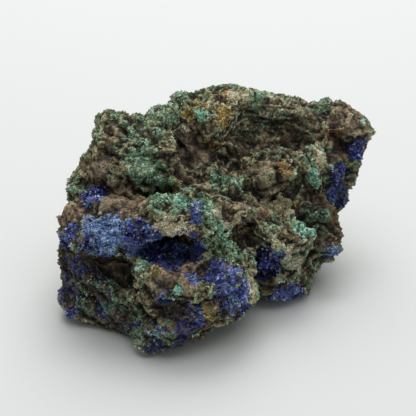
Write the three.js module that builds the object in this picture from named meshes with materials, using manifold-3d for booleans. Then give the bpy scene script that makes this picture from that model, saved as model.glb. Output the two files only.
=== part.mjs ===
// A hand-sized azurite specimen: one block of brown, iron-stained gossan with malachite on it, and
// druses of blue azurite crystals grown in its vugs and along its broken edges.
// Millimetres. +X runs along the block, +Y from its low front corner to its back, +Z up.
import * as THREE from "three";
import { mergeVertices } from "three/addons/utils/BufferGeometryUtils.js";
import { ImprovedNoise } from "three/addons/math/ImprovedNoise.js";
import Module from "manifold-3d";

const wasm = await Module();
wasm.setup();

// Driving dimensions.
const ROUGH = 1.8; // how far a lump's skin wanders in and out
const WAVE = 9; // from one swelling of the skin to the next
const FINER = 2.3; // how many small, weaker swellings there are to each of those
const FACET = 5.2; // side of the flat facets that the skin is made of
const BREAKS = 9; // flat breaks on a usual lump
const BREAK_REACH = [0.78, 0.96]; // from a lump's middle to its breaks, as a share of the lump
const CLEARANCE = 0.3; // left between a druse and the rock that it grew on
const CRUST = { rough: 0.4, chips: 3 }; // the crust under a druse is smoother than the rock
const CRYSTAL = 1.7; // width of a usual azurite crystal
const CRYSTAL_WIDTH = [0.7 * CRYSTAL, 1.3 * CRYSTAL];
const CRYSTAL_LENGTH = [0.9 * CRYSTAL, 1.5 * CRYSTAL];
const TAPER = 0.9; // a crystal's free end against its root
const THICKNESS = 0.6; // of a crystal against its width
const SPRAWL = 1.8; // how widely the crystals of a druse lean, 0 for all upright
const ROOT = 0.6; // how far out in its crust a crystal is rooted
const TRIES = 12; // places looked at for each crystal
const TABLE = { side: 200, depth: 60 }; // the flat underside is where the block rests on it

const noise = new ImprovedNoise();
const upright = new THREE.Vector3(0, 1, 0);

// The same run of random numbers from 0 to 1 each time.
function seeded(seed) {
  let state = seed;
  return () => {
    state = (state + 0x6d2b79f5) | 0;
    let t = Math.imul(state ^ (state >>> 15), 1 | state);
    t = (t + Math.imul(t ^ (t >>> 7), 61 | t)) ^ t;
    return ((t ^ (t >>> 14)) >>> 0) / 4294967296;
  };
}

function between([low, high], share) {
  return low + (high - low) * share;
}

function turned([x, y, z]) {
  const r = THREE.MathUtils.degToRad;
  return new THREE.Quaternion().setFromEuler(new THREE.Euler(r(x), r(y), r(z), "ZYX"));
}

function solid(geometry) {
  const bare = geometry.clone();
  bare.deleteAttribute("normal");
  bare.deleteAttribute("uv");
  const merged = mergeVertices(bare, 1e-4);
  return new wasm.Manifold(
    new wasm.Mesh({
      numProp: 3,
      vertProperties: new Float32Array(merged.attributes.position.array),
      triVerts: new Uint32Array(merged.index.array),
    }),
  );
}

function joined(solids) {
  return solids.reduce((all, one) => all.add(one));
}

// A lump of rock: a ball squared off towards a box, chipped by flat breaks and roughened.
// Its skin is always in sight of its middle, so it never folds through itself.
function lump({ at, size, turn = [0, 0, 0], square = 3, chips = BREAKS, rough = ROUGH, seed = 1, grow = 0 }) {
  const random = seeded(seed * 7919);
  const breaks = [];
  for (let i = 0; i < chips; i += 1) {
    const way = new THREE.Vector3(random() - 0.5, random() - 0.5, random() - 0.5).normalize();
    breaks.push({ way, reach: between(BREAK_REACH, random()) });
  }
  const stand = turned(turn);
  const middle = new THREE.Vector3(...at);
  const scale = new THREE.Vector3(...size);
  const geometry = new THREE.IcosahedronGeometry(1, Math.round(Math.max(...size) / FACET));
  const points = geometry.attributes.position;
  const p = new THREE.Vector3();
  for (let i = 0; i < points.count; i += 1) {
    p.fromBufferAttribute(points, i).normalize();
    const full = (Math.abs(p.x) ** square + Math.abs(p.y) ** square + Math.abs(p.z) ** square) ** (-1 / square);
    const reach = breaks.reduce((r, { way, reach: far }) => {
      const facing = way.dot(p);
      return facing > 0 ? Math.min(r, far / facing) : r;
    }, full);
    p.multiplyScalar(reach).multiply(scale);
    const length = p.length();
    p.applyQuaternion(stand);
    const q = p.clone().add(middle).divideScalar(WAVE);
    const broad = noise.noise(q.x + seed, q.y, q.z);
    q.multiplyScalar(FINER);
    const swell = broad + 0.5 * noise.noise(q.x, q.y + seed, q.z);
    p.multiplyScalar((length + rough * swell + grow) / length).add(middle);
    points.setXYZ(i, p.x, p.y, p.z);
  }
  return solid(geometry);
}

// The block, lump by lump: at is the lump's middle, size its half lengths, turn its tilt in degrees.
const LUMPS = [
  // the inside of the block and its hidden back
  { at: [-2, -2, 15], size: [29, 18, 14], square: 4, seed: 1 },
  { at: [-14, 10, 18], size: [17, 13, 20], square: 4, seed: 2 },
  { at: [14, 13, 17], size: [18, 11, 19], square: 4, seed: 3 },
  { at: [-25, -6, 12], size: [9, 11, 11.5], turn: [0, 0, 10], square: 4, seed: 50 },
  // low front block, with a shelf of crust on top that slopes to an overhanging lip
  { at: [-19.4, -18.6, 11], size: [17.8, 11, 13.5], turn: [0, 0, -33], square: 8, chips: 2, seed: 4 },
  { at: [-20.5, -20, 24], size: [16.5, 10, 6], turn: [22, 0, -24], square: 5, chips: 3, seed: 41 },
  // front foot and the ledge above it
  { at: [-9, -29.3, 9.5], size: [12, 12.6, 11.5], turn: [0, 0, 35], square: 5, seed: 5 },
  { at: [-6, -30, 19.5], size: [11, 8.5, 3.5], turn: [10, 14, -12], square: 3, seed: 6 },
  { at: [-8, -23, 29.5], size: [10, 8, 3.2], turn: [12, 6, -10], square: 3, seed: 42 },
  // azurite lobe and the granular slope behind it
  { at: [4, -24, 12.5], size: [9, 8.5, 9.5], turn: [0, 0, 35], square: 3, seed: 7 },
  { at: [0, -14, 20], size: [12, 12, 12], turn: [34, 0, 24], square: 4, seed: 8 },
  { at: [9, -22, 13], size: [4, 6, 7], turn: [0, 10, 30], square: 3, seed: 43 },
  // right lobe, right end
  { at: [19, -9.4, 8.5], size: [9, 8.8, 8.2], turn: [0, 0, 20], square: 3, seed: 9 },
  { at: [25.2, -1, 12], size: [8.5, 10, 12], turn: [0, 0, 18], square: 5, seed: 10 },
  { at: [17, -2, 17.5], size: [11, 9.5, 7.5], turn: [42, 0, 14], square: 3, seed: 11 },
  // brown knobs on the slope
  { at: [15, 1.5, 28], size: [8, 7, 6.5], turn: [30, 0, -20], square: 3, seed: 12 },
  { at: [4, -3, 27], size: [7, 7, 6], turn: [30, 0, 0], square: 3, seed: 13 },
  // upper left block
  { at: [-16.9, 4.3, 32.5], size: [12.6, 13.4, 11.2], turn: [24, 0, -6], square: 5, chips: 3, seed: 14 },
  { at: [-22, -2, 23], size: [13.5, 13, 12], turn: [30, 0, -14], square: 5, chips: 4, seed: 44 },
  { at: [-6, 4, 24], size: [9, 13, 12], turn: [24, 0, 20], square: 4, seed: 46 },
  // upper middle lump, crest and arm
  { at: [2, 12, 34.5], size: [11.5, 10, 12.5], turn: [14, 0, 10], square: 4, seed: 15 },
  { at: [6, 16, 45.5], size: [4, 4, 2.6], turn: [0, 0, 0], square: 2.5, seed: 49 },
  { at: [16, 8, 26], size: [13, 9, 10], turn: [24, 0, 0], square: 4, seed: 47 },
  { at: [17, 18, 33], size: [17, 6.5, 10.8], turn: [0, 10, -2], square: 4, seed: 16 },
  { at: [37.2, 17, 36.8], size: [10.6, 7, 4.2], turn: [0, 22, -8], square: 2.4, seed: 17 },
  { at: [28, 15, 34], size: [9.5, 7.5, 7], turn: [0, 8, 0], square: 3, seed: 45 },
  { at: [26, 8, 27], size: [8, 8, 8], turn: [20, 0, 20], square: 3, seed: 18 },
  { at: [30, 11, 24], size: [9, 8, 10.5], turn: [0, 20, 0], square: 4, seed: 19 },
  { at: [37, 14, 29.5], size: [4.5, 5, 6], turn: [0, 20, 0], square: 3, seed: 48 },
];

// Hollows cut back into it.
const VUGS = [
  { at: [-9.5, -29, 25.2], size: [7, 8, 4.1], turn: [-8, 0, -8], seed: 31, rough: 0.8 },
  { at: [-22, -29, 20], size: [6.5, 6, 4.5], turn: [0, 0, -30], seed: 32, rough: 0.8 },
  { at: [-9, -41.5, 13], size: [6, 3, 3], turn: [0, 10, 0], seed: 36, rough: 0.8 },
  { at: [9.5, -16, 22.5], size: [4, 6, 4], turn: [0, 20, 0], seed: 37, rough: 0.8 },
  { at: [14.5, -20.5, 15], size: [4, 5, 6], turn: [0, 20, 0], seed: 33, rough: 0.8 },
  { at: [19, 9, 38], size: [13, 6, 4], turn: [30, 4, 0], seed: 34, rough: 0.8 },
  { at: [-6, -1, 38.5], size: [3.5, 10, 4.5], turn: [24, 0, 25], seed: 35, rough: 0.8 },
];

// Druses: at is the middle of the crust that carries the crystals, size its half lengths, and out the
// way that its crystals point, away from the wall behind them.
const DRUSES = [
  { name: "azurite_front_vug", at: [-10, -24.6, 21.2], size: [6, 3, 1.7], out: [0, -0.4, 0.9], crystals: 6, seed: 51 },
  { name: "azurite_shelf_corner", at: [-17, -26.2, 28.4], size: [3.6, 2.6, 3], out: [-0.2, -0.7, 0.6], crystals: 5, seed: 52 },
  { name: "azurite_shelf_pocket", at: [-28.2, -11, 29.6], size: [3.4, 2, 1.6], out: [-0.2, -0.5, 0.8], crystals: 4, seed: 53 },
  { name: "azurite_ridge_streak", at: [-2.9, -21.4, 31.8], size: [1.4, 3.2, 1.4], out: [0.2, -0.4, 0.9], crystals: 3, seed: 54 },
  { name: "azurite_lobe", at: [3.6, -31.2, 16], size: [5.8, 3, 5.4], out: [0.4, -0.8, 0.4], crystals: 7, seed: 55 },
  { name: "azurite_right_vug", at: [15.5, -15.6, 14.5], size: [3.4, 2, 4.4], out: [-0.2, -0.9, 0.2], crystals: 6, seed: 56 },
  { name: "azurite_belly", at: [19.6, -15.4, 4.6], size: [4.4, 1.8, 1.8], out: [0.2, -0.9, 0.1], crystals: 4, seed: 57 },
  { name: "azurite_right_edge", at: [34, 5, 26.8], size: [2.4, 2.4, 3.8], out: [0.8, -0.4, 0.3], crystals: 4, seed: 58 },
  { name: "azurite_tip_edge", at: [38.6, 10.8, 31.4], size: [1.6, 2.4, 3], out: [0.3, -0.9, 0], crystals: 3, seed: 59 },
];

const table = new THREE.BoxGeometry(TABLE.side, TABLE.side, TABLE.depth).translate(0, 0, -TABLE.depth / 2);
const block = joined(LUMPS.map(lump))
  .subtract(joined(VUGS.map(lump)))
  .subtract(solid(table));

// One stout tabular crystal with a narrower end, its root at foot and its length along way.
function crystal(foot, way, width, length, spin, grow = 0) {
  const half = width / 2;
  const geometry = new THREE.CylinderGeometry(TAPER * half + grow, half + grow, length + 2 * grow, 4);
  geometry.scale(1, 1, THICKNESS);
  geometry.rotateY(spin);
  geometry.translate(0, length / 2, 0);
  geometry.applyQuaternion(new THREE.Quaternion().setFromUnitVectors(upright, way));
  geometry.translate(foot.x, foot.y, foot.z);
  return solid(geometry);
}

// The crust of one druse, and the crystals on it that stand clear of the rock round them.
function druse({ at, size, out, crystals, seed }, rock) {
  const random = seeded(seed);
  const spread = () => random() - 0.5;
  const crust = lump({ at, size, seed, ...CRUST });
  const outward = new THREE.Vector3(...out).normalize();
  const grown = [];
  for (let tries = 0; grown.length < crystals && tries < TRIES * crystals; tries += 1) {
    const side = new THREE.Vector3(spread(), spread(), spread()).multiplyScalar(SPRAWL).add(outward).normalize();
    const foot = side.clone().multiply(new THREE.Vector3(...size)).multiplyScalar(ROOT).add(new THREE.Vector3(...at));
    const way = side.add(outward).normalize();
    const width = between(CRYSTAL_WIDTH, random());
    const length = between(CRYSTAL_LENGTH, random());
    const spin = Math.PI * random();
    const room = crystal(foot, way, width, length, spin, CLEARANCE);
    if (room.intersect(rock).volume() === 0) grown.push(crystal(foot, way, width, length, spin));
  }
  return joined([crust, ...grown]);
}

function meshOf(name, body, material) {
  const { vertProperties, triVerts } = body.getMesh();
  const geometry = new THREE.BufferGeometry();
  geometry.setAttribute("position", new THREE.BufferAttribute(vertProperties, 3));
  geometry.setIndex(new THREE.BufferAttribute(triVerts, 1));
  geometry.computeVertexNormals();
  const mesh = new THREE.Mesh(geometry, material);
  mesh.name = name;
  return mesh;
}

const gossan = new THREE.MeshStandardMaterial({ color: 0x5b4c3b, roughness: 0.9, metalness: 0 });
const azurite = new THREE.MeshStandardMaterial({ color: 0x14279a, roughness: 0.25, metalness: 0 });

// Each druse sits in a seat of its own shape. A slanting side moves out by less than its lump grows.
const seats = DRUSES.map(({ at, size, seed }) =>
  lump({ at, size, seed, ...CRUST, grow: 1.5 * CLEARANCE }),
);
const rock = block.subtract(joined(seats));

const specimen = new THREE.Group();
specimen.add(meshOf("matrix", rock, gossan));
DRUSES.forEach((spot) => specimen.add(meshOf(spot.name, druse(spot, rock), azurite.clone())));

const bounds = new THREE.Box3().setFromObject(specimen);
const centre = bounds.getCenter(new THREE.Vector3());
specimen.position.set(-centre.x, -centre.y, -bounds.min.z);

export default specimen;
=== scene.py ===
from math import cos, radians, sin

import bmesh
import bpy
import numpy as np
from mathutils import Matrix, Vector, noise


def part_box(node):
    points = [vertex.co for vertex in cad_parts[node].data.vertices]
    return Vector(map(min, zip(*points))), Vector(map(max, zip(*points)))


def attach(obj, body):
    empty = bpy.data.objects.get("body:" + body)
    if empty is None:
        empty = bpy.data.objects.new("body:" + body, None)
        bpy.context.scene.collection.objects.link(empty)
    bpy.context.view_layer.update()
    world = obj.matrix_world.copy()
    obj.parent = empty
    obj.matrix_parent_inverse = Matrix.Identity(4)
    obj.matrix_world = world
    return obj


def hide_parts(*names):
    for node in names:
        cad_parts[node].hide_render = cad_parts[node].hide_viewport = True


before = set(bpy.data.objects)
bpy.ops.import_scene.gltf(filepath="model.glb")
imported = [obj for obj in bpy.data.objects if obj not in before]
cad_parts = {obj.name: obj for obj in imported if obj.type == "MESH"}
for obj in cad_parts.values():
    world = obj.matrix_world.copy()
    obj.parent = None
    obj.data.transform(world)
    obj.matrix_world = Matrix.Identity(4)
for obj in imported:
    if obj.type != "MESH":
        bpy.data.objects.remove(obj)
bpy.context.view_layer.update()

MM = 0.001
COARSE_SKIN = 0.97  # first skin over the solids, wide enough to close the seats of the druses
DRUSES = [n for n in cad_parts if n.startswith("azurite")]
FINER = 2.1  # each octave of noise is this much finer than the one before it
rng = np.random.default_rng(20)


# ---------------------------------------------------------------- small tools

def linear(code):
    """An sRGB hex colour as linear numbers."""
    parts = [int(code[i : i + 2], 16) / 255 for i in (1, 3, 5)]
    return tuple(c / 12.92 if c <= 0.04045 else ((c + 0.055) / 1.055) ** 2.4 for c in parts) + (1.0,)


def add(tree, kind, inputs=None, stops=(), **settings):
    """Adds one node with its settings, links and, on a ramp, its colour stops. An input may be a value,
    a socket, or a node whose first output it takes."""
    made = tree.nodes.new(kind)
    for name, value in settings.items():
        setattr(made, name, value)
    for name, value in (inputs or {}).items():
        if isinstance(value, bpy.types.Node):
            value = value.outputs[0]
        if isinstance(value, bpy.types.NodeSocket):
            tree.links.new(value, made.inputs[name])
        else:
            made.inputs[name].default_value = value
    for i, (place, code) in enumerate(stops):
        ramp = made.color_ramp.elements
        stop = ramp[i] if i < 2 else ramp.new(place)
        stop.position = place
        stop.color = linear(code)
    return made


def per(mm):
    """The scale of a texture whose features are this many millimetres apart."""
    return 1 / (mm * MM)


def unit(ways):
    """The ways, each made 1 long."""
    return ways / np.maximum(np.linalg.norm(ways, axis=1, keepdims=True), 1e-9)


def link(name, mesh):
    """A new piece of the scene that holds the mesh."""
    piece = bpy.data.objects.new(name, mesh)
    bpy.context.scene.collection.objects.link(piece)
    return piece


def with_modifiers(piece):
    """A new mesh of the piece as its modifiers leave it."""
    seen = piece.evaluated_get(bpy.context.evaluated_depsgraph_get())
    return bpy.data.meshes.new_from_object(seen)


def fractal(points, wave, octaves=3, shift=0.0):
    """Wandering noise, about -1 to 1, whose largest swells are a wave apart."""
    aside = Vector((shift, 0, 0))
    return np.array([noise.fractal(Vector(p) / wave + aside, 1.0, FINER, octaves) for p in points])


def ridges(points, wave, octaves=4):
    """Noise with sharp crests, about 0 to 2."""
    fade, offset, gain = 0.9, 0.9, 2.0
    return np.array([
        noise.ridged_multi_fractal(Vector(p) / wave, fade, FINER, octaves, offset, gain)
        for p in points
    ])


def broken(points, wave, crack):
    """Broken blocks a wave across: the level of each, -1 to 1, and 1 in the cracks between them."""
    mix_up = 7.3  # sets the levels of neighbours apart
    level = np.empty(len(points))
    gap = np.empty(len(points))
    for i, p in enumerate(points):
        far, cells = noise.voronoi(Vector(p) / wave)
        level[i] = noise.cell_vector(cells[0] * mix_up)[0] * 2 - 1
        gap[i] = (far[1] - far[0]) * wave
    return level, np.exp(-gap / crack)


def ledges(points, way, pitch):
    """Worn steps where layers of rock break off one behind another: 1 at each edge, falling to -1."""
    bend, wave, tread = 0.7, 6, 0.8
    height = points @ np.array(way) / pitch + bend * fractal(points, wave, 2, 41.0)
    share = height - np.floor(height)
    return np.where(share < tread, 2 * share / tread - 1, 1 - 2 * (share - tread) / (1 - tread))


def spread_from(points, spots):
    """How much the spots (x, y, z, reach, strength) cover each point, falling off towards their reach."""
    flat_top = 1.5
    best = np.zeros(len(points))
    for x, y, z, reach, strength in spots:
        gap = np.linalg.norm(points - (x, y, z), axis=1)
        best = np.maximum(best, strength * np.clip(flat_top - flat_top * (gap / reach) ** 2, 0, 1))
    return best


def near_spot(points, middle, reach):
    """1 round the middle, falling to 0 at the reach."""
    flat_top = 1.3
    gap = np.linalg.norm(points - middle, axis=1)
    return np.clip(flat_top - flat_top * (gap / reach) ** 2, 0, 1)


def near_line(points, start, end, reach):
    """1 along the line, falling to 0 at its reach."""
    fall = 1.5
    start, end = np.array(start, float), np.array(end, float)
    run = end - start
    share = np.clip((points - start) @ run / (run @ run), 0, 1)
    gap = np.linalg.norm(points - start - share[:, None] * run, axis=1)
    return np.clip(1 - (gap / reach) ** 2, 0, 1) ** fall


def stretched(points, way, how_much):
    """The points drawn together along a way, so that noise over them is drawn out along it."""
    way = np.array(way, float) / np.linalg.norm(way)
    return points - how_much * (points @ way)[:, None] * way


# ---------------------------------------------------------------- where each mineral lies

def near_druse(points, name, margin):
    """1 in the middle of a druse's box, falling to 0 a margin outside it."""
    low, high = (np.array(corner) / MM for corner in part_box(name))
    share = (points - (low + high) / 2) / ((high - low) / 2 + margin)
    return np.clip(1 - (share**2).sum(1), 0, 1)


# Each spot: its middle, its reach, and how much of the rock there the mineral covers, 0 to 1.
AZURITE = [
    # left edge
    (-38, -16, 26, 5, 0.7), (-38, -14, 17, 8, 0.5), (-37, -12, 6, 9, 0.5),
    # shelf
    (-31, -20, 24, 5, 0.7), (-20, -22, 29, 6, 0.9), (-32, -7, 31, 4, 0.6), (-27, -14, 31, 4, 0.5),
    # front vug
    (-14, -22, 29, 3.5, 0.9), (-9, -22, 28, 4, 0.9), (-14, -20, 24, 7, 0.9),
    (-18, -22, 21, 4, 0.6), (-7, -20, 25, 4, 0.8),
    # streak on the ridge
    (-7, -18, 30.5, 1.5, 1.0), (-6.5, -14, 33, 1.5, 1.0),
    # lobe
    (-1, -22, 20, 4, 0.6), (2, -27, 16, 7, 0.6), (4, -23, 9, 5, 0.6),
    # ridge under the vug
    (-7, -27, 21, 3, 0.7), (-14, -29, 17, 4, 0.5), (-8, -31, 11, 6, 0.6),
    # front face
    (-13, -32, 4, 9, 0.5), (-24, -24, 5, 8, 0.45), (-29, -20, 10, 9, 0.4),
    # right vug
    (11, -12, 13, 5, 0.8), (13, -11, 18, 3, 0.9), (17, -12, 6, 5, 0.6), (17, -9, 2, 7, 0.8),
    # right edge
    (29, -1, 12, 4, 0.55), (30, 13, 22, 4, 0.8), (31, 12, 27, 4, 0.8), (33, 13, 19, 4, 0.7),
    # under the arm
    (36, 17, 32, 4, 0.9),
    # back
    (-5, 30, 14, 8, 0.8), (24, 26, 22, 7, 0.8), (-30, 16, 18, 7, 0.7), (6, 24, 34, 5, 0.6),
]
MALACHITE = [
    # upper block
    (-19, 8, 43, 9, 0.7), (-27, 12, 42, 7, 0.5), (-12, 10, 42, 7, 0.5), (-20, 0, 39, 7, 0.75),
    (-17, -3, 34, 7, 0.8), (-24, -3, 34, 5, 0.5), (-34, -1, 34, 6, 0.5), (-37, 0, 31, 4, 0.8),
    # fan over the shelf
    (-13, -10, 33, 6, 0.9), (-9, -12, 33, 5, 0.8), (-8, -4, 34, 4, 0.7),
    # slope
    (-3, -14, 31, 6, 0.85), (-2, -17, 29, 6, 0.8), (-1, -18, 25, 5, 0.8), (3, -15, 23, 8, 0.75),
    (8, -14, 19, 4, 0.6), (0, 0, 33, 4.5, 0.85), (5, 0, 28, 4, 0.6), (15, 0, 23, 4, 0.5),
    # upper lump
    (-5, 12, 46, 3.5, 0.9), (-6, 11, 40, 4, 0.7), (-9, 16, 46, 4, 0.6), (3, 8, 42, 6, 0.45),
    # right end
    (19, -3, 21, 4, 0.8), (22, -1, 22, 4, 0.8), (24, 8, 29, 5, 0.6), (26, 16, 34, 4, 0.7),
    (25, 3, 21, 5, 0.6), (22, -4, 14, 6, 0.5), (27, 2, 18, 5, 0.55), (25, -1, 10, 6, 0.5),
    # crest
    (17, 20, 38, 9, 0.35), (8, 20, 45, 8, 0.62), (18, 23, 43, 7, 0.55), (27, 25, 43, 4, 0.5),
    # arm
    (38, 21, 40, 5, 0.35), (40, 18, 37, 3, 0.5), (35, 15, 27, 3, 0.6),
    # ridge under the vug
    (-6, -27, 20, 2.5, 0.9), (-12, -29, 18, 3, 0.8), (-19, -25, 22.5, 2, 0.9),
    (-16, -27, 22, 1.5, 0.9), (-14, -31, 14, 5, 0.35),
    # front face
    (-28, -20, 12, 7, 0.6), (-33, -16, 8, 7, 0.6), (-20, -27, 7, 7, 0.65), (-25, -22, 11, 4, 0.8),
    (-20, -27, 4, 5, 0.85), (-15, -31, 7, 4, 0.8), (-8, -31, 3, 5, 0.4),
    # lobe
    (2, -26, 17, 2, 0.9), (5, -24, 8, 2, 0.7), (-2, -25, 19, 2, 0.6), (3, -27, 15, 1.8, 0.9),
    # its rim
    (7, -22, 13, 5, 0.7), (8, -20, 18, 4, 0.8),
    # rim of the right vug
    (17, -10, 15, 4, 0.8), (18, -12, 9, 5, 0.45),
    # back
    (-22, 22, 26, 11, 0.7), (6, 28, 28, 9, 0.6), (20, 26, 12, 9, 0.5), (-34, 8, 14, 9, 0.6),
]
BRIGHT_GREEN = [
    # upper lump and arm
    (-5, 12.5, 45, 3.0, 0.95), (38, 20, 40, 2, 0.6),
    # fibrous spray
    (24, 8, 29, 3, 0.65), (25, 13, 34, 2.5, 0.6),
    # rosette and layers
    (-1, 1, 34, 2.2, 0.7), (4, 0, 32, 2.2, 0.7), (16, -1, 24, 2, 0.5),
    # flange
    (20, -5, 21, 3, 0.85), (22, -3, 19, 3, 0.7),
    # fan
    (-11, -10, 34, 3.5, 0.65), (-8, -13, 33, 3, 0.6),
    # slope
    (1, -14, 28, 3, 0.65), (-2.6, -14, 32, 2, 0.8),
    # ridge and lobe
    (-10.5, -30.5, 19.6, 1.6, 0.95), (3, -27.5, 15, 1.8, 0.7), (8, -22, 13, 2.5, 0.5),
    # rim of the right vug
    (18.5, -9.5, 13.5, 2.5, 0.6), (17.5, -9, 16, 3.2, 0.8),
]
POWDER = [
    # shelf
    (-29, -17, 29, 6, 0.8), (-32, -15, 30, 3.5, 0.6), (-25, -19, 28, 5.5, 0.8), (-29, -20, 25, 5, 0.7),
    # round the front vug
    (-22, -21, 26, 3.5, 0.7), (-18, -20, 31, 1.8, 0.8), (-11, -22, 29, 2, 0.6),
    # low on the right and the front
    (29, -1, 12, 2.5, 0.7), (20, -10, 4, 3, 0.5), (-15, -31, 9, 2, 0.6),
]
OCHRE = [
    # upper lump
    (-8, 14, 45, 3, 1.1), (0.5, 11, 43, 3, 1.1), (1, 14, 44.5, 3, 1.0), (1, 19, 47.5, 2.4, 0.9),
    (-3, 15, 46, 2.5, 0.7), (-4, 18, 47, 2.5, 0.6), (-6, 17, 46.5, 2.5, 0.7), (-4, 10, 39, 2.5, 0.6),
    # either side of it
    (6, 13, 40, 2, 0.5), (10, 18, 42, 2, 0.5), (-16, 4, 40, 2, 0.5),
    # knobs and layers
    (17, 6, 33, 4, 0.5), (2, 2, 33, 1.8, 0.8), (18, 3, 24, 3, 0.6), (15, -1, 25, 2, 0.6),
    # right end
    (30, 14, 36, 3, 0.5), (30, 7, 19, 3, 0.7), (27, 6, 20, 2.5, 0.6), (31, 5, 19, 2, 0.8),
    (29, 0, 14, 1.5, 0.7),
    # pebble under the small black hole
    (-11.6, -3.8, 34, 2.2, 0.9),
    # front boss and ridge
    (-3, -28, 13, 3.5, 0.95), (-16, -26, 22, 2.0, 0.6), (-12, -29, 18, 1.8, 0.7),
    # back
    (-16, 24, 32, 5, 0.6),
]
RUST = [
    # upper lump
    (1, 19.5, 47.8, 2.6, 1.0), (-2, 10.5, 38, 2.5, 0.8), (-4, 13, 42.5, 2, 0.6), (6, 12, 38, 2.5, 0.5),
    # upper block
    (-19, 3, 39, 2.5, 0.5), (-15, 6, 40, 2, 0.6),
    # below the crest and the arm
    (24, 20, 40, 3, 0.4), (30, 15, 36, 4, 0.7),
    # knobs and layers
    (16.5, 6.5, 33.5, 3, 0.85), (15.5, -1, 24, 2.5, 0.7), (10, -5, 26, 2.5, 0.5),
    # right end
    (29, 4, 19, 2.5, 0.8), (29, 0, 14.5, 2, 0.8), (31, 9, 24, 3, 0.6),
    # ridge under the vug, and front face
    (-15, -26, 22, 2, 0.6), (-26, -21, 16, 3, 0.5),
]
PALE = [
    # layers
    (16, 2, 24, 4, 0.85), (12, 1, 24.5, 3, 0.9), (6.4, -5.6, 23.7, 2, 1.0), (4, -9, 26, 2, 0.8),
    (1, -12, 27.5, 2, 0.9), (2, 2, 34, 1.5, 0.7), (-9, -5, 35, 2, 0.5),
    (-0.5, -9.2, 27.8, 1.4, 0.9), (1.2, -9.4, 26.4, 1.4, 0.9), (2.8, -9.9, 25.4, 1.4, 0.9),
    # slope
    (-2, -14, 30.5, 2.4, 0.7), (-2, -13, 30, 3, 0.6),
    # rim over the front vug
    (-13, -20, 31, 3.5, 1.0), (-9, -20, 30, 3, 0.8), (-30, -19, 27, 2, 0.35),
    # rim of the right vug
    (13.1, -11.3, 21.7, 1.4, 1.0), (17, -9.5, 17, 3, 1.0), (19, -9, 13, 2.5, 0.7),
    (18, -10.5, 15, 3, 0.9),
    # lobe's rim
    (7, -21, 13, 3.5, 0.6), (8, -21, 16, 4, 0.8), (7.5, -22.5, 12, 3.5, 0.75), (6, -24, 7, 3, 0.6),
    # crest
    (6, 19, 47, 6, 0.5), (-3, 15, 46, 3, 0.55), (13, 22, 45, 7, 0.5), (20, 24, 43, 5, 0.45),
    # fibrous spray
    (26, 14, 35, 4, 0.75), (25, 11, 32, 3, 0.7),
    # front face
    (-14, -32, 7, 2.5, 0.5), (-19, -28, 4, 4, 0.5),
]
BARE = [  # rock that is smooth and free of crust
    # shelf
    (-24, -8, 31, 7, 1.0), (-24, -10, 31, 6, 1.0), (-37, -10, 29, 4, 0.6), (-38, -10, 28, 4, 0.5),
    # ridge under the vug
    (-14, -27, 22, 5, 0.8), (-9, -29, 21, 4, 0.7), (-9, -24, 22, 5, 0.5),
    # upper slope
    (-8, 11, 37, 7, 0.8), (-11, 5, 37, 5, 0.7), (-31, 0, 36, 4.5, 0.9), (5, 6, 38, 5, 0.4),
    # knobs and layers
    (13, 3, 32, 6, 0.4), (10, -2, 25, 5, 0.35), (8, -4, 27, 6, 0.4),
    # arm
    (35, 20, 41, 8, 0.8),
    # back
    (10, 26, 20, 9, 0.6), (-26, 22, 14, 8, 0.6),
]
SHADE = [  # painted shade: rock painted dark on faces turned from the light, in hollows and in recesses
    # front face
    (-27, -18, 17, 7, 0.8), (-30, -20, 12, 10, 0.6), (-37, -14, 14, 12, 0.6), (-22, -26, 6, 9, 0.5),
    (-8, -31, 5, 9, 0.5), (-12, -31, 14, 4.5, 0.9),
    # in the vugs
    (-14, -19, 23, 5, 0.4), (-12, -28, 21, 5, 0.15), (-15, -13, 31, 2.5, 0.6), (-11, -11, 32, 1.8, 0.6),
    # recess under the crest, filled to a slope, its shade painted on
    (11, 21, 39, 7, 0.45), (20, 20, 38, 7, 0.4), (9, 16, 35, 6, 0.35), (15, 12, 34, 5, 0.3),
    # small black hole, and cracks
    (-10.8, 0.8, 35.2, 3.4, 1.0), (-31, -1, 35.5, 4, 0.25), (-23, -6, 29, 2, 1.0), (-29, 2, 39, 3, 0.7),
    # under the knobs
    (12, 3, 31, 6, 0.3), (12, -2, 27, 4, 0.5), (13, -4, 20, 4, 0.4), (6, -7, 20, 4, 1.0),
    # right end
    (27, 3, 18, 9, 0.75), (24, 12, 28, 5, 0.4), (22, 6, 27, 4, 0.4), (24, 0, 13, 6, 0.35),
    (31, 14, 32, 4, 0.7), (11, -8, 8, 5, 0.7), (23, -3, 11, 6, 0.35),
]
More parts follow.
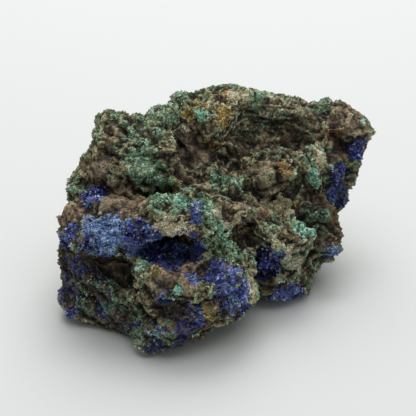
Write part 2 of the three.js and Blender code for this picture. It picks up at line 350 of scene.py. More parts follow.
# Landforms raised from the skin or pressed into it: from, to, reach either side, and rise.
LANDFORMS = [
    ((-38, -14, 30), (-22, -21, 27), 3.5, 1.2),  # lip of the shelf's crust
    ((-32, -20, 18), (-25, -20, 17), 5.0, -3.0),  # hollow under it
    ((-17, -20, 32), (-8, -22, 31), 2.5, 1.6),  # pale rim over the front vug
    ((-17, -21, 24), (-8, -20, 24), 4.0, -1.8),  # the vug itself
    ((-19, -24, 21), (-4, -30, 19), 3.0, 1.6),  # ridge under the vug
    ((-15, -31, 14), (-9, -32, 14), 3.5, -2.0),  # dish under the ridge
    ((-18, -30, 8), (-12, -32, 8), 2.5, 1.2),  # pale green ledge
    ((1, -26, 20), (4, -25, 12), 5.0, 1.0),  # azurite lobe
    ((8, -22, 17), (8, -22, 9), 2.0, 1.0),  # its banded rim
    ((6, -18, 21), (6, -22, 14), 1.3, -1.2),  # groove inside the rim
    ((12, 3, 33), (12, 1, 29), 4.5, 2.0),  # brown knob
    ((17, 7, 34), (17, 3, 29), 3.0, 1.3),  # tan knob beside it
    ((14, 5, 33), (15, 2, 28), 1.2, -1.4),  # cleft between them
    ((5, -2, 29), (19, -1, 24), 1.8, -1.8),  # furrow under the knobs
    ((-4, -4, 32), (5, -3, 29), 1.8, -1.6),  # furrow under the rosette
    ((-1, 1, 34), (3, 0, 32), 2.6, 1.2),  # green rosette
    ((-6, -10, 33), (12, -5, 25), 2.2, 1.4),  # layered band down the slope
    ((0, -14, 28), (10, -9, 22), 1.6, 1.0),  # layer below it
    ((3, -5, 22), (8, -6, 19), 5.0, 3.0),  # fill of the wide hollow round the groove
    ((3, -9, 24), (8, -8, 21), 1.5, -2.0),  # diagonal groove
    ((18, 0, 23), (22, -4, 18), 2.2, 1.6),  # green flange
    ((21, 2, 20), (24, -3, 13), 2.5, -1.4),  # behind it
    ((-11, 1, 35), (-10, -1, 34.5), 2.7, -3.2),  # small black hole
    ((-12, -3.6, 34), (-11, -3.6, 33.5), 2.0, 1.2),  # tan pebble under it
    ((-24, -5, 30), (-22, -6, 30), 1.8, -1.6),  # pits behind the shelf
    ((-15, -13, 32), (-13, -14, 32), 1.8, -1.5),
    ((-11, 16, 42), (-7, 9, 37), 2.0, -1.0),  # valley left of the upper lump's slope
    ((-32, 11, 42), (-30, 15, 43), 3.4, 1.2),  # square corner of the upper block
    ((-13, 17, 45), (-11, 21, 46), 3.4, 2.4),  # shoulder of the crest
    ((-31, 3, 40), (-25, 0, 39), 1.4, -1.8),  # dark crack across the upper block
    ((-33, -1, 36), (-28, -3, 35), 3.5, 1.2),  # boulder under the crack
    ((-20, -2, 37), (-16, -6, 34), 3.5, 1.2),  # boulder beside it
    ((-15, -9, 34), (-9, -14, 33), 2.6, 1.2),  # green fan
    ((-9, -5, 35), (-5, -12, 34), 1.4, 1.1),  # rib beside it
    ((-16, 14, 42), (-10, 19, 44), 4.5, 2.4),  # step up to the crest
    ((6, 20, 38), (25, 21, 37), 5.5, 2.6),  # recess under the crest, filled to a slope whose shade is painted on
    ((-13, 12, 39), (-11, 16, 41), 4.5, 2.2),  # slope of the upper lump, in three steps
    ((-9, 14, 39), (-6, 10, 34), 3.5, 2.4),
    ((-10.5, 13, 39.5), (-9, 10, 35.5), 2.6, 2.2),
    ((2, 20, 47), (9, 22, 45), 3.5, 1.8),  # striped crest
    ((9, 22, 45), (20, 24, 43), 3.0, 0.5),
    ((42, 24, 37), (42.5, 18, 36.5), 4.5, -1.8),  # tip of the arm
    ((25, 26, 43), (28, 26, 43), 2.0, 1.4),  # bumps on the skyline
    ((31, 23, 43), (33, 23, 43), 1.8, 1.2),
    ((25, 16, 37), (25, 8, 27), 2.2, 1.3),  # fibrous spray
    ((22, 13, 34), (22, 8, 27), 1.4, -1.5),  # gap beside it
    ((30, 16, 36), (34, 16, 34), 2.6, -1.6),  # under the arm
    ((35, 12, 28), (36, 15, 29), 2.0, 1.0),  # right edge
    ((32, 10, 25), (35, 12, 25), 1.6, -2.0),  # notch in it
    ((34, 11, 29), (33, 13, 19), 3.6, -1.8),
    ((30, 8, 19), (30, 2, 13), 4.0, 0.7),  # swell of the right end
    ((-40, -12, 27), (-40, -14, 14), 4.5, -2.6),  # flat left break
    ((-43, -9, 19), (-42, -11, 11), 5.0, -2.0),
    ((-40, -13, 5), (-37, -17, 3), 4.0, 1.8),  # its foot
    ((-30, -7, 29), (-20, -6, 29), 4.5, 2.8),  # tan shelf
    ((14, -12.5, 20), (17.5, -11, 14), 2.2, 2.4),  # pale rim of the right vug
    ((12, -12, 17), (12, -13, 12), 2.6, -1.2),  # the vug itself
    ((-4, -28, 12), (-2, -27, 15), 2.6, 1.0),  # ochre boss
]
ALONG_FOLDS = (0.8, -0.3, -0.5)
DOWN_SLOPES = (0.5, -0.6, -0.6)
ACROSS_LAYERS = (0.2, -0.4, 0.9)
# Fibrous growth: its middle, its reach, the way that its fibres run, and how free of grains it is.
FIBRES = [
    ((9, 20, 45), 14, (1, 0.1, -0.14), 1.0),  # crest
    ((26, 12, 32), 8, (0.25, -0.5, -0.8), 0.7),  # spray
    ((-12, -12, 33), 7, (0.5, -0.7, -0.4), 0.4),  # fan
    ((-9, 11, 38), 8, (0.45, -0.7, -0.5), 0.2),  # upper slope
    ((20, -2, 20), 6, (-0.6, -0.3, -0.7), 0.5),  # flange
    ((-22, -1, 37), 7, (0.3, -0.6, -0.6), 0.0),  # upper block
    ((8, -21, 13), 5.5, (0.1, -0.3, -0.95), 0.9),  # rim of the lobe
]

# The relief of the skin: how far apart its features are and how high they stand, in millimetres.
FOLD, FOLD_HEIGHT = 8, 1.1
FURROW, FURROW_HEIGHT = 3.4, 0.6
LAYER, LAYER_HEIGHT = 3.4, 0.5
LUMP, LUMP_HEIGHT, LUMP_CRACK, LUMP_CRACK_DEPTH = 3.6, 0.5, 0.3, 0.15
CRUMB, CRUMB_HEIGHT, CRUMB_CRACK, CRUMB_CRACK_DEPTH = 1.5, 0.35, 0.2, 0.2
GRIT, GRIT_HEIGHT = 1.0, 0.15
RIB, RIB_HEIGHT = 1.3, 0.7
SWELL, SWELL_HEIGHT = 16, 3.0  # these two only on the back
BOULDER, BOULDER_HEIGHT = 10, 1.2

# Each mineral: its spots, and how far wandering noise, specks, stripes along the fibres and edges that
# stand out each move its outline, how much less of it lies on smooth rock, and how much less in all.
MINERALS = {
    "malachite": (MALACHITE, 0.3, 0.3, 0.5, 0.6, 0.35, 0.17),
    "azurite": (AZURITE, -0.25, 0.45, 0, 0, 0, 0),
    "bright_green": (BRIGHT_GREEN, 0, 0.35, 0.3, 0.3, 0, 0),
    "powder": (POWDER, 0.25, 0.4, 0, 0.3, 0, 0),
    "ochre": (OCHRE, 0.1, 0.3, 0, 0, 0, 0),
    "rust": (RUST, -0.15, 0.3, 0, 0, 0, 0),
    "pale": (PALE, 0, 0.35, -0.7, 0.4, 0, 0),
}


# ---------------------------------------------------------------- the gossan block

def coarse_block():
    """The solids under one closed skin, smoothed."""
    shape = bmesh.new()
    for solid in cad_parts.values():
        shape.from_mesh(solid.data)
    mesh = bpy.data.meshes.new("solids")
    shape.to_mesh(mesh)
    shape.free()
    piece = link("coarse", mesh)
    skin = piece.modifiers.new("skin", "REMESH")
    skin.mode = "VOXEL"
    skin.voxel_size = COARSE_SKIN * MM
    ease = piece.modifiers.new("ease", "SMOOTH")
    ease.factor = 0.5
    ease.iterations = 5
    coarse = with_modifiers(piece)
    bpy.data.objects.remove(piece)
    return coarse


def unwrap(piece):
    """A map over the whole piece, for the bake."""
    piece.data.uv_layers.new(name="OFBake")
    bpy.context.view_layer.objects.active = piece
    piece.select_set(True)
    bpy.ops.object.mode_set(mode="EDIT")
    bpy.ops.mesh.select_all(action="SELECT")
    bpy.ops.uv.smart_project(angle_limit=radians(66), island_margin=0.002)
    bpy.ops.object.mode_set(mode="OBJECT")


def fine_block():
    """The coarse skin with its map, made fine enough for the relief."""
    coarse = link("coarse_block", coarse_block())
    unwrap(coarse)
    finer = coarse.modifiers.new("finer", "SUBSURF")
    finer.levels = 1
    finer.render_levels = 1
    mesh = with_modifiers(coarse)
    bpy.data.objects.remove(coarse)
    mesh.name = "gossan_block"
    return link("gossan_block", mesh)


def read(source, what):
    """One vector for each vertex, from its places or its normals."""
    found = np.empty(len(source) * 3, np.float32)
    source.foreach_get(what, found)
    return found.reshape(-1, 3).astype(float)


def evened(points, edges, rounds):
    """Each vertex drawn to the middle of its neighbours, round after round."""
    count = np.bincount(edges.ravel(), minlength=len(points))
    for _ in range(rounds):
        total = np.zeros_like(points)
        np.add.at(total, edges[:, 0], points[edges[:, 1]])
        np.add.at(total, edges[:, 1], points[edges[:, 0]])
        points = total / np.maximum(count, 1)[:, None]
    return points


def past(values, start, run):
    """0 up to the start, rising to 1 a run past it."""
    return np.clip((values - start) / run, 0, 1)


def relief(points, smooth):
    """How far each point of the skin stands out or in, in millimetres."""
    bend, calm, worn_behind = 1.3, 0.75, 0.4
    fold_stretch, furrow_stretch, fibre_stretch = 0.5, 0.45, 0.88
    bent = points + bend * np.stack([fractal(points, 4, 3, s) for s in (0, 11, 23)], 1)

    # Fibrous growth is free of most of the rock's own relief, and smooth rock of some of it.
    fibrous = np.zeros(len(points))
    for middle, reach, _, clean in FIBRES:
        fibrous = np.maximum(fibrous, (0.5 + 0.5 * clean) * near_spot(points, middle, reach))
    rough = (1 - 0.5 * smooth) * (1 - calm * fibrous)
    crumbly = np.clip(0.4 + 1.5 * fractal(points, 8, 2, 17.0), 0.15, 1) * (1 - 0.6 * smooth)
    crumbly *= 1 - calm * fibrous

    rise = FOLD_HEIGHT * (ridges(stretched(points, ALONG_FOLDS, fold_stretch), FOLD) - 1.0)
    rise += rough * FURROW_HEIGHT * (ridges(stretched(bent, DOWN_SLOPES, furrow_stretch), FURROW) - 1.0)
    # On the back the ledges are worn down, and the rock swells more broadly.
    back = past(points[:, 1], 16, 6) * past(-points[:, 2], -41, 8)
    rise += rough * (LAYER_HEIGHT - worn_behind * back) * ledges(bent, ACROSS_LAYERS, LAYER)
    swells = SWELL_HEIGHT * fractal(points, SWELL, 2, 33.0)
    rise += back * (swells + BOULDER_HEIGHT * (ridges(bent, BOULDER, 2) - 1.0))
    level, crack = broken(bent, LUMP, LUMP_CRACK)
    rise += rough * (LUMP_HEIGHT * level - LUMP_CRACK_DEPTH * crack)
    level, crack = broken(bent, CRUMB, CRUMB_CRACK)
    rise += crumbly * (CRUMB_HEIGHT * level - CRUMB_CRACK_DEPTH * crack)
    rise += GRIT_HEIGHT * fractal(points, GRIT, 2)
    for middle, reach, way, clean in FIBRES:
        ribs = fractal(stretched(points, way, fibre_stretch), RIB, 2)
        rise += (RIB_HEIGHT + 0.4 * clean) * near_spot(points, middle, reach) * ribs
    for start, end, reach, height in LANDFORMS:
        rise += height * near_line(points, start, end, reach)
    return rise


def minerals(points, smooth, inward):
    """How much of each mineral lies on each point, about 0 to 1, before its edge is broken up."""
    wander = fractal(points, 3.5, 3)
    speck = fractal(points, 1.1, 2, 5.0)
    broad = fractal(points, 11, 3, 9.0)
    stripe = np.zeros(len(points))
    for middle, reach, way, clean in FIBRES:
        strength = (0.8 + 0.6 * clean) * near_spot(points, middle, reach)
        stripe += strength * fractal(stretched(points, way, 0.9), 1.3, 2)
    back = past(points[:, 1], 18, 6)
    # Less malachite lies under the painted shade, which leaves those places darker.
    elsewhere = {
        "malachite": 0.44 + 0.45 * back * broad - 0.2 * spread_from(points, SHADE),
        "azurite": 0.04 + 0.1 * back,
        "ochre": 0.1 + 0.1 * broad,
        "rust": 0.12 - 0.15 * broad,
        "pale": 0.08 - 0.1 * broad,
    }
    for druse in DRUSES:
        elsewhere["azurite"] = np.maximum(elsewhere["azurite"], near_druse(points, druse, 0.6))
    cover = {}
    for name, (spots, wandering, speckled, striped, on_edges, worn, less) in MINERALS.items():
        cover[name] = np.maximum(spread_from(points, spots), elsewhere.get(name, 0))
        # Minerals with a share on edges lie more on the edges that stand out and less in the hollows,
        # which paints their paler colours as a highlight on the edges.
        moved = wandering * wander + speckled * speck + striped * stripe + on_edges * (0.5 - inward)
        cover[name] += moved - worn * smooth - less
    return cover


def roughen(mesh):
    """Gives the skin its broken, crumbly relief, and stores on it how much of each mineral lies where."""
    foot_height, near_rounds, far_rounds, crevice, valley = 1.5, 4, 30, 0.8, 5
    points = read(mesh.vertices, "co") / MM
    ways = read(mesh.vertex_normals, "vector")
    smooth = spread_from(points, BARE)

    # The feet stay flat where the block rests on them.
    foot = np.clip(points[:, 2] / foot_height, 0, 1)
    moved = points + ways * (relief(points, smooth) * foot)[:, None]
    moved[:, 2] = np.maximum(moved[:, 2], 0)
    mesh.vertices.foreach_set("co", (moved * MM).astype(np.float32).ravel())
    mesh.update()

    # How deep each point lies below those around it, near and further off.
    edges = np.empty(len(mesh.edges) * 2, np.int32)
    mesh.edges.foreach_get("vertices", edges)
    edges = edges.reshape(-1, 2)
    ways = read(mesh.vertex_normals, "vector")
    fine = np.einsum("ij,ij->i", evened(moved, edges, near_rounds) - moved, ways)
    wide = np.einsum("ij,ij->i", evened(moved, edges, far_rounds) - moved, ways)
    inward = np.clip(0.5 + fine / crevice + wide / valley, 0, 1)

    fields = minerals(points, smooth, inward)
    fields["bare"] = smooth
    fields["shade"] = spread_from(points, SHADE)
    fields["silky"] = np.zeros(len(points))
    for middle, reach, _, clean in FIBRES:
        fields["silky"] = np.maximum(fields["silky"], clean * near_spot(points, middle, reach))
    fields["hollow"] = inward
    for name, values in fields.items():
        mesh.attributes.new(name, "FLOAT", "POINT").data.foreach_set("value", values.astype(np.float32))
    mesh.shade_flat()
    return moved, ways, fields


# ---------------------------------------------------------------- grains and crystals

def chip():
    """An angular chip of rock: a skewed block about 2 across."""
    points = [(x, y, z) for x in (-1, 1) for y in (-1, 1) for z in (-1, 1)]
    skew = np.array([(0.2, 0, 0.1), (0, 0.3, 0), (0.1, -0.2, 0.2), (-0.2, 0, 0)] * 2)
    faces = [[0, 1, 3, 2], [4, 6, 7, 5], [0, 4, 5, 1], [2, 3, 7, 6], [0, 2, 6, 4], [1, 5, 7, 3]]
    return 0.8 * (np.array(points, float) + skew), faces


def tablet():
    """A stout azurite crystal: a tapered slab 1 high that ends in a roof-shaped edge."""
    foot = [(x, y, -0.3) for x, y in ((-0.5, -0.22), (0.5, -0.22), (0.5, 0.22), (-0.5, 0.22))]
    shoulder = [(x, y, 0.62) for x, y in ((-0.46, -0.2), (0.46, -0.2), (0.46, 0.2), (-0.46, 0.2))]
    roof = [(-0.2, 0, 1), (0.26, 0, 0.94)]
    faces = [[3, 2, 1, 0], [0, 1, 5, 4], [1, 2, 6, 5], [2, 3, 7, 6], [3, 0, 4, 7]]
    faces += [[4, 5, 9, 8], [6, 7, 8, 9], [5, 6, 9], [7, 4, 8]]
    return np.array(foot + shoulder + roof), faces


def axes_along(ways, spins):
    """Three axes for each grain, the third one along its way."""
    helper = np.where(np.abs(ways[:, 2:]) < 0.9, [[0.0, 0.0, 1.0]], [[1.0, 0.0, 0.0]])
    side = unit(np.cross(helper, ways))
    other = np.cross(ways, side)
    turn, lean = np.cos(spins)[:, None], np.sin(spins)[:, None]
    return np.stack([turn * side + lean * other, turn * other - lean * side, ways], 2)


class Skin:
    """The finished block's faces, to scatter grains over."""

    def __init__(self, mesh, points, ways, fields):
        mesh.calc_loop_triangles()
        corners = np.empty(len(mesh.loop_triangles) * 3, np.int32)
        mesh.loop_triangles.foreach_get("vertices", corners)
        self.corners = corners.reshape(-1, 3)
        self.points, self.ways, self.fields = points, ways, fields
        a, b, c = (points[self.corners[:, i]] for i in range(3))
        self.area = np.linalg.norm(np.cross(b - a, c - a), axis=1) / 2

    def scatter(self, weight, count, shade_strength=0.4):
        """Places, outward ways and brightness for grains, more of them where the weight is larger. The
        brightness carries painted shade.
        """
        clear = 0.6  # grains sit this far above the surface that the block rests on
        share = self.area * np.clip(weight[self.corners].mean(1), 0, None)
        share *= self.points[self.corners][:, :, 2].min(1) > clear
        chosen = rng.choice(len(share), count, p=share / share.sum())
        mix = rng.dirichlet((1, 1, 1), count)[:, :, None]
        corner = self.corners[chosen]
        # Grains in the hollows and under the painted shade are painted darker: painted shade.
        painted_shade = np.maximum(shade_strength * self.fields["shade"], 1.4 * self.fields["hollow"] - 0.5)
        light = np.clip(1 - painted_shade[corner].mean(1), 0, 1)
        return (self.points[corner] * mix).sum(1), unit((self.ways[corner] * mix).sum(1)), light


def grains(name, shape, spots, sizes, lean, uneven):
    """One mesh of many small grains, each with a tone of its own."""
    lowest, patch_size, map_share = 0.05, 4, 0.3
    places, ways, light = spots
    base, faces = shape
    count = len(places)
    tilted = unit(ways + lean * rng.normal(size=(count, 3)))
    axes = axes_along(tilted, rng.uniform(0, 2 * np.pi, count))
    bodies = base[None] * sizes[:, None, :] * (1 + uneven * rng.normal(size=(count, len(base), 1)))
    points = places[:, None, :] + np.einsum("nij,nkj->nki", axes, bodies)
    points[:, :, 2] = np.maximum(points[:, :, 2], lowest)

    sides = np.array([len(f) for f in faces])
    corners = np.concatenate([np.array(f) for f in faces])
    mesh = bpy.data.meshes.new(name)
    mesh.vertices.add(count * len(base))
    mesh.vertices.foreach_set("co", (points * MM).astype(np.float32).ravel())
    mesh.loops.add(count * len(corners))
    loops = corners[None] + len(base) * np.arange(count)[:, None]
    mesh.loops.foreach_set("vertex_index", loops.astype(np.int32).ravel())
    mesh.polygons.add(count * len(faces))
    starts = np.concatenate([[0], np.cumsum(np.tile(sides, count))[:-1]])
    mesh.polygons.foreach_set("loop_start", starts.astype(np.int32))
    mesh.update(calc_edges=True)
    # They vary in patches as well as one by one, and are painted darker in the hollows and under the
    # painted shade.
    patch = np.clip(0.95 + 0.9 * fractal(places, patch_size, 3, 51.0), 0.35, 1.25)
    tone = np.repeat(rng.uniform(size=count) * (0.25 + 0.75 * light) * patch, len(base))
    mesh.attributes.new("tone", "FLOAT", "POINT").data.foreach_set("value", tone.astype(np.float32))

    # Each grain has a small square of the bake's map to itself.
    rows = int(np.ceil(np.sqrt(count)))
    cell = np.stack([np.arange(count) % rows, np.arange(count) // rows], 1)
    spread = 0.5 + map_share * base[corners, :2] / np.abs(base[:, :2]).max()
    places_on_map = (cell[:, None, :] + spread[None]) / rows
    layer = mesh.uv_layers.new(name="OFBake")
    layer.uv.foreach_set("vector", places_on_map.astype(np.float32).ravel())
    mesh.polygons.foreach_set("use_smooth", np.zeros(len(mesh.polygons), bool))
    return link(name, mesh)


def spread_of_sizes(count, low, high, flat=(1, 1, 1)):
    """Sizes along three axes, with more small grains than large ones."""
    uneven = 0.25
    size = low + (high - low) * rng.uniform(size=count) ** 2
    return size[:, None] * np.array(flat) * rng.uniform(1 - uneven, 1 + uneven, (count, 3))


# ---------------------------------------------------------------- materials

def material(name):
    """An empty material with its tree and its shader."""
    made = bpy.data.materials.new(name)
    made.use_nodes = True
    tree = made.node_tree
    tree.nodes.clear()
    shader = add(tree, "ShaderNodeBsdfPrincipled")
    out = add(tree, "ShaderNodeOutputMaterial", {"Surface": shader.outputs[0]})
    out.is_active_output = True
    return made, tree, shader


SHARE, UNDER, OVER = 0, 6, 7  # the inputs of a node that mixes two colours
NOISES = (  # how far apart the features are in millimetres, the detail and the roughness
    (4, 6, 0.7),  # cloud
    (7, 3, 0.5),  # stain
    (5, 2, 0.5),  # drift
    (2, 3, 0.7),  # blotch
    (0.9, 4, 0.8),  # fleck
    (0.65, 3, 0.75),  # grit
)
EARTH = ((0.42, "#18150d"), (0.53, "#423b27"), (0.63, "#6f664b"), (0.78, "#b0a582"))
STAINED_EARTH = ((0.42, "#1c130b"), (0.53, "#473424"), (0.63, "#745c44"), (0.78, "#b39a78"))
BARE_ROCK = ((0.42, "#30261b"), (0.76, "#aa9478"))
# The colour of the painted shade laid into hollows, into the low spots of the grit and under the shade
# field.
PAINTED_SHADE_COLOUR = "#120e0b"
OLIVE_GREENS = ((0.34, "#25291a"), (0.43, "#4a5534"), (0.53, "#77855a"), (0.64, "#b6bf8e"))
CRUSTS = (  # mineral, how ragged its edge is, and its colours from crevice to crest
    ("ochre", 0.9, ((0.34, "#3a2814"), (0.44, "#84682f"), (0.54, "#b29a50"), (0.68, "#dccf8e"))),
    ("rust", 1.0, ((0.34, "#38200f"), (0.44, "#6f4620"), (0.54, "#9a6a38"), (0.68, "#c4a06c"))),
    ("malachite", 1.2, ((0.34, "#33442c"), (0.44, "#53734e"), (0.55, "#7fa37e"), (0.68, "#c6dcba"))),
    ("bright_green", 0.9, ((0.34, "#1f4a40"), (0.43, "#3f8f78"), (0.53, "#7cc8ac"), (0.64, "#c8efdc"))),
    ("pale", 1.0, ((0.34, "#5c5338"), (0.44, "#aca27c"), (0.56, "#e6dfc0"))),
    ("azurite", 1.1, ((0.34, "#090a1a"), (0.46, "#181e48"), (0.57, "#3a4890"), (0.7, "#7687c8"))),
    ("powder", 0.7, ((0.34, "#232a50"), (0.43, "#4f6aa4"), (0.52, "#7d9dc8"), (0.64, "#b8d2e6"))),
)


def gossan_finish():
    """Gossan: earthy iron oxides left by weathering, broken with a hammer. It is dull and crumbly, and
    malachite, azurite, ochre and pale clay lie in it as specks and crusts."""
    made, tree, shader = material("gossan")
    place = add(tree, "ShaderNodeTexCoord").outputs["Object"]
    cloud, stain, drift, blotch, fleck, grit = [
        add(tree, "ShaderNodeTexNoise",
            {"Vector": place, "Scale": per(mm), "Detail": detail, "Roughness": roughness})
        for mm, detail, roughness in NOISES
    ]
    hollow, bare, shade = [
        add(tree, "ShaderNodeAttribute", attribute_name=field).outputs["Fac"]
        for field in ("hollow", "bare", "shade")
    ]
    blotch = add(tree, "ShaderNodeMath", {0: blotch, 1: 1.1, 2: -0.45}, operation="MULTIPLY_ADD")
    mottle = add(tree, "ShaderNodeMath", {0: grit, 1: 0.8, 2: blotch}, operation="MULTIPLY_ADD")

    # The edges that stand out are painted paler and the hollows darker: a painted highlight and painted
    # shade, along with rubbed wear.
    tone = add(tree, "ShaderNodeMath", {0: hollow, 1: -0.35, 2: cloud}, operation="MULTIPLY_ADD")
    tone = add(tree, "ShaderNodeMath", {0: grit, 1: 0.5, 2: tone}, operation="MULTIPLY_ADD")
    earth, stained, plain = [
        add(tree, "ShaderNodeValToRGB", {0: tone}, stops=stops)
        for stops in (EARTH, STAINED_EARTH, BARE_ROCK)
    ]
    share = add(tree, "ShaderNodeMapRange", {"Value": stain, "From Min": 0.45, "From Max": 0.6})
    colour = add(tree, "ShaderNodeMix", {SHARE: share, UNDER: earth, OVER: stained},
                 data_type="RGBA").outputs[2]
    share = add(tree, "ShaderNodeMath", {0: bare, 1: 0.75}, operation="MULTIPLY")
    colour = add(tree, "ShaderNodeMix", {SHARE: share, UNDER: colour, OVER: plain},
                 data_type="RGBA").outputs[2]

    for name, ragged, stops in CRUSTS:
        lies = add(tree, "ShaderNodeAttribute", attribute_name=name).outputs["Fac"]
        edge = add(tree, "ShaderNodeMath", {0: fleck, 1: -0.5}, operation="ADD")
        edge = add(tree, "ShaderNodeMath", {0: edge, 1: 2 * ragged, 2: lies}, operation="MULTIPLY_ADD")
        cover = add(tree, "ShaderNodeMapRange", {"Value": edge, "From Min": 0.46, "From Max": 0.58},
                    interpolation_type="SMOOTHSTEP")
        paint = add(tree, "ShaderNodeValToRGB", {0: mottle}, stops=stops).outputs[0]
        if name == "malachite":
            olive = add(tree, "ShaderNodeValToRGB", {0: mottle}, stops=OLIVE_GREENS)
            share = add(tree, "ShaderNodeMapRange",
                        {"Value": drift, "From Min": 0.43, "From Max": 0.6, "To Max": 0.85})
            paint = add(tree, "ShaderNodeMix", {SHARE: share, UNDER: paint, OVER: olive},
                        data_type="RGBA").outputs[2]
        colour = add(tree, "ShaderNodeMix", {SHARE: cover, UNDER: colour, OVER: paint},
                     data_type="RGBA").outputs[2]

    # Painted shade: the hollows, the low spots of the grit's bump and the places of the shade field are
    # painted dark.
    pits = add(tree, "ShaderNodeMapRange",
               {"Value": grit, "From Min": 0.46, "From Max": 0.37, "To Max": 0.7})
    depth = add(tree, "ShaderNodeMapRange",
                {"Value": hollow, "From Min": 0.5, "From Max": 0.95, "To Max": 0.8})
    painted_shade = add(tree, "ShaderNodeMath", {0: shade, 1: 0.85}, operation="MULTIPLY")
    deep = add(tree, "ShaderNodeMath", {0: depth, 1: painted_shade}, operation="MAXIMUM")
    deep = add(tree, "ShaderNodeMath", {0: deep, 1: pits}, operation="MAXIMUM")
    colour = add(tree, "ShaderNodeMix", {SHARE: deep, UNDER: colour, OVER: linear(PAINTED_SHADE_COLOUR)},
                 data_type="RGBA").outputs[2]
    bump = add(tree, "ShaderNodeBump", {"Height": grit, "Strength": 1.0, "Distance": 0.6 * MM})
    tree.links.new(colour, shader.inputs["Base Color"])
    tree.links.new(bump.outputs[0], shader.inputs["Normal"])
    shader.inputs["Roughness"].default_value = 0.85
    shader.inputs["IOR"].default_value = 1.5
    return made


def grain_finish(name, stops, roughness, ior):
    """A mineral whose grains each have a tone of their own, with finer mottling inside a grain."""
    made, tree, shader = material(name)
    tone = add(tree, "ShaderNodeAttribute", attribute_name="tone").outputs["Fac"]
    place = add(tree, "ShaderNodeTexCoord").outputs["Object"]
    mottle = add(tree, "ShaderNodeTexNoise", {"Vector": place, "Scale": per(0.5), "Detail": 3})
    mixed = add(tree, "ShaderNodeMath", {0: mottle, 1: 0.5, 2: tone}, operation="MULTIPLY_ADD")
    level = add(tree, "ShaderNodeMapRange", {"Value": mixed, "From Min": 0.1, "From Max": 1.4})
    paint = add(tree, "ShaderNodeValToRGB", {0: level}, stops=stops)
    bump = add(tree, "ShaderNodeBump", {"Height": mottle, "Strength": 0.5, "Distance": 0.15 * MM})
    tree.links.new(paint.outputs[0], shader.inputs["Base Color"])
    tree.links.new(bump.outputs[0], shader.inputs["Normal"])
    shader.inputs["Roughness"].default_value = roughness
    shader.inputs["IOR"].default_value = ior
    return made


# ---------------------------------------------------------------- build

def place_piece(piece, finish, node=None):
    """Gives a piece its finish and its body, and hides the solid that it stands in for."""
    piece.data.materials.clear()
    piece.data.materials.append(finish)
    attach(piece, "root")
    if node:
        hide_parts(node)


# Each kind of grain: its colours from dark to light, its roughness and its index of refraction.
GRAIN_LOOKS = {
    # Azurite crystals are glassy, and so deep a blue that all but their edges look black.
    "azurite": (((0.0, "#070920"), (0.5, "#161d54"), (0.85, "#33439c"), (1.0, "#5f74cc")), 0.16, 1.76),
    # Where they are rubbed or dusted over they are a milky cobalt.
    "azurite_frosted": (
        ((0.0, "#0d1030"), (0.35, "#2c3a80"), (0.7, "#5f74be"), (1.0, "#b4c4e8")), 0.5, 1.76),
    # Malachite is a soft green crust of fine needles, paler where they end.
    "malachite": (((0.0, "#2a3d2e"), (0.4, "#5d8a6c"), (0.7, "#9cc4a6"), (1.0, "#e2f0e0")), 0.65, 1.7),
    # Azurite that has grown as a powder is a dull sky blue.
    "powder_blue": (((0.0, "#1d2450"), (0.4, "#4d69a8"), (0.7, "#86a6d4"), (1.0, "#cadeee")), 0.75, 1.6),
    # Ochre is an iron earth: powdery, dull and mustard yellow.
    "ochre": (((0.0, "#4a3018"), (0.5, "#967c3c"), (1.0, "#d8ca86")), 0.85, 1.5),
    # Clay washed into the cracks and over the fibres is chalky and cream.
    "pale_clay": (((0.0, "#6a6448"), (0.5, "#aca485"), (1.0, "#e6e0c8")), 0.8, 1.5),
    # Crumbs of the gossan itself are dusty and a dull grey-brown.
    "gossan_crumbs": (
        ((0.0, "#241f14"), (0.4, "#5c523a"), (0.8, "#938865"), (1.0, "#c2b892")), 0.9, 1.5),
}

# How closely crystals grow in a druse, its largest crystal in millimetres, and how they look.
USUAL_CRYSTALS = (4, 0.95, "azurite")
CRYSTALS = {
    "azurite_lobe": (2.6, 0.95, "azurite_frosted"),
    "azurite_belly": (2.6, 0.95, "azurite_frosted"),
    "azurite_ridge_streak": (4, 0.7, "azurite_frosted"),
    "azurite_right_edge": (2.6, 0.95, "azurite"),
    "azurite_right_vug": (2.5, 1.5, "azurite"),
}
LONG, SQUAT = (1, 0.7, 1.6), (1, 1, 0.8)  # a grain's proportions, the last one outwards
GRAINS = (  # piece, its mineral, how many, smallest and largest in millimetres, proportions, slot, look
    ("malachite_grains", "malachite", 14000, 0.07, 0.26, LONG, "malachite", "malachite"),
    ("powder_blue_grains", "powder", 2600, 0.06, 0.22, SQUAT, "powder_blue_crust", "powder_blue"),
    ("ochre_grains", "ochre", 1500, 0.06, 0.24, SQUAT, "ochre", "ochre"),
    ("pale_grains", "pale", 4000, 0.07, 0.26, LONG, "ochre", "pale_clay"),
)


def crystals_on(name, weight, count, low, high):
    """Azurite tablets scattered over the skin, leaning every way."""
    # Crystals take the painted shade in full.
    lean, shade_strength = 0.5, 1.0
    sizes = spread_of_sizes(count, low, high)
    return grains(name, tablet(), skin.scatter(weight, count, shade_strength), sizes, lean, 0.0)


def crystal_weight(druse, low, high):
    """Where a druse's crystals grow: over its box in ragged patches, or along its streak."""
    margin, reach = 0.5, 1.3
    if druse == "azurite_ridge_streak":
        middle = (low[0] + high[0]) / 2
        return near_line(skin.points, (middle, low[1], low[2]), (middle, high[1], high[2]), reach)
    return near_druse(skin.points, druse, margin) ** 0.5 * ragged * crystal_room


block = fine_block()
skin = Skin(block.data, *roughen(block.data))
place_piece(block, gossan_finish(), "matrix")
finishes = {name: grain_finish(name, *look) for name, look in GRAIN_LOOKS.items()}

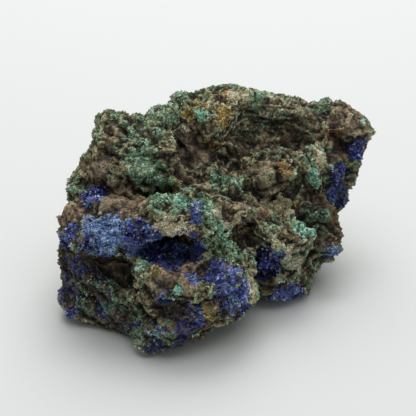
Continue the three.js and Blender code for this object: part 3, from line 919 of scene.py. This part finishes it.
# Crystals leave room for the other minerals, and grains for the clean fibres.
ragged = np.clip(1 + 1.6 * fractal(skin.points, 2.4, 2, 31.0), 0, 2)
others = np.max([skin.fields[name] for name in ("pale", "bright_green", "ochre", "silky")], axis=0)
others = np.maximum(others, 0.8 * skin.fields["powder"])
crystal_room = np.clip(1.6 - 1.6 * others, 0.03, 1)
grain_room = 1 - 0.95 * skin.fields["silky"]

smallest = 0.28
for druse in DRUSES:
    low, high = (np.array(corner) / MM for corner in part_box(druse))
    dense, largest, look = CRYSTALS.get(druse, USUAL_CRYSTALS)
    count = int(dense * np.linalg.norm(high - low) ** 2)
    crystals = crystals_on(druse + "_crystals", crystal_weight(druse, low, high), count, smallest, largest)
    place_piece(crystals, finishes[look], druse)

count, smallest, largest = 5000, 0.22, 0.75
sprinkled = np.clip(skin.fields["azurite"] - 0.55, 0, 0.5) * crystal_room
crystals = crystals_on("azurite_sprinkle", sprinkled, count, smallest, largest)
place_piece(crystals, finishes["azurite_frosted"])

covered, lean, uneven = 0.5, 0.9, 0.15
for name, mineral, count, low, high, build, slot, look in GRAINS:
    weight = np.clip(skin.fields[mineral] - covered, 0, 0.5) * grain_room
    sizes = spread_of_sizes(count, low, high, build)
    piece = grains(name, chip(), skin.scatter(weight, count), sizes, lean, uneven)
    place_piece(piece, finishes[look])

count, smallest, largest, lean, uneven = 12000, 0.06, 0.32, 0.6, 0.2
weight = np.clip(1 - skin.fields["malachite"], 0.1, 1) * np.clip(1 - skin.fields["bare"], 0.12, 1)
weight *= grain_room
sizes = spread_of_sizes(count, smallest, largest, SQUAT)
crumbs = grains("gossan_crumbs", chip(), skin.scatter(weight, count), sizes, lean, uneven)
place_piece(crumbs, finishes["gossan_crumbs"])


# ---------------------------------------------------------------- floor, light and camera

def stage():
    """A plain pale tabletop."""
    half = 3.0
    mesh = bpy.data.meshes.new("tabletop")
    corners = [(-half, -half, 0), (half, -half, 0), (half, half, 0), (-half, half, 0)]
    mesh.from_pydata(corners, [], [(0, 1, 2, 3)])
    top = link("tabletop", mesh)
    # Matt white card: pale, a little grey, with hardly any gloss.
    made, tree, shader = material("matt_white_card")
    shader.inputs["Base Color"].default_value = linear("#d3d5d3")
    shader.inputs["Roughness"].default_value = 0.9
    mesh.materials.append(made)


def lamp(name, place, at, size, power):
    """A round lamp at a place, turned towards a point; lengths in metres and power in watts."""
    light = bpy.data.lights.new(name, "AREA")
    light.shape = "DISK"
    light.size = size
    light.energy = power
    holder = link(name, light)
    holder.location = place
    holder.rotation_euler = (Vector(at) - Vector(place)).to_track_quat("-Z", "Y").to_euler()


def light_it():
    world = bpy.data.worlds.new("soft_room")
    bpy.context.scene.world = world
    world.use_nodes = True
    back = world.node_tree.nodes["Background"]
    back.inputs["Color"].default_value = linear("#f3f6f7")
    back.inputs["Strength"].default_value = 0.36
    lamp("window_behind", place=(-0.02, 0.5, 0.75), at=(0, 0, 0.02), size=0.8, power=5.2)
    lamp("ceiling", place=(0.1, 0.05, 1.0), at=(0, 0, 0), size=1.2, power=6.1)


def camera():
    """Looks along +Y from 30 degrees above the table."""
    look_at = Vector((-0.0034, 0.0074, 0.020))
    away, height = 0.302, radians(30)
    eye = bpy.data.cameras.new("camera")
    eye.lens = 100
    eye.sensor_width = 36
    holder = link("camera", eye)
    holder.location = look_at + away * Vector((0, -cos(height), sin(height)))
    holder.rotation_euler = (look_at - holder.location).to_track_quat("-Z", "Y").to_euler()
    bpy.context.scene.camera = holder


stage()
light_it()
camera()
bpy.context.scene.view_settings.view_transform = "Standard"
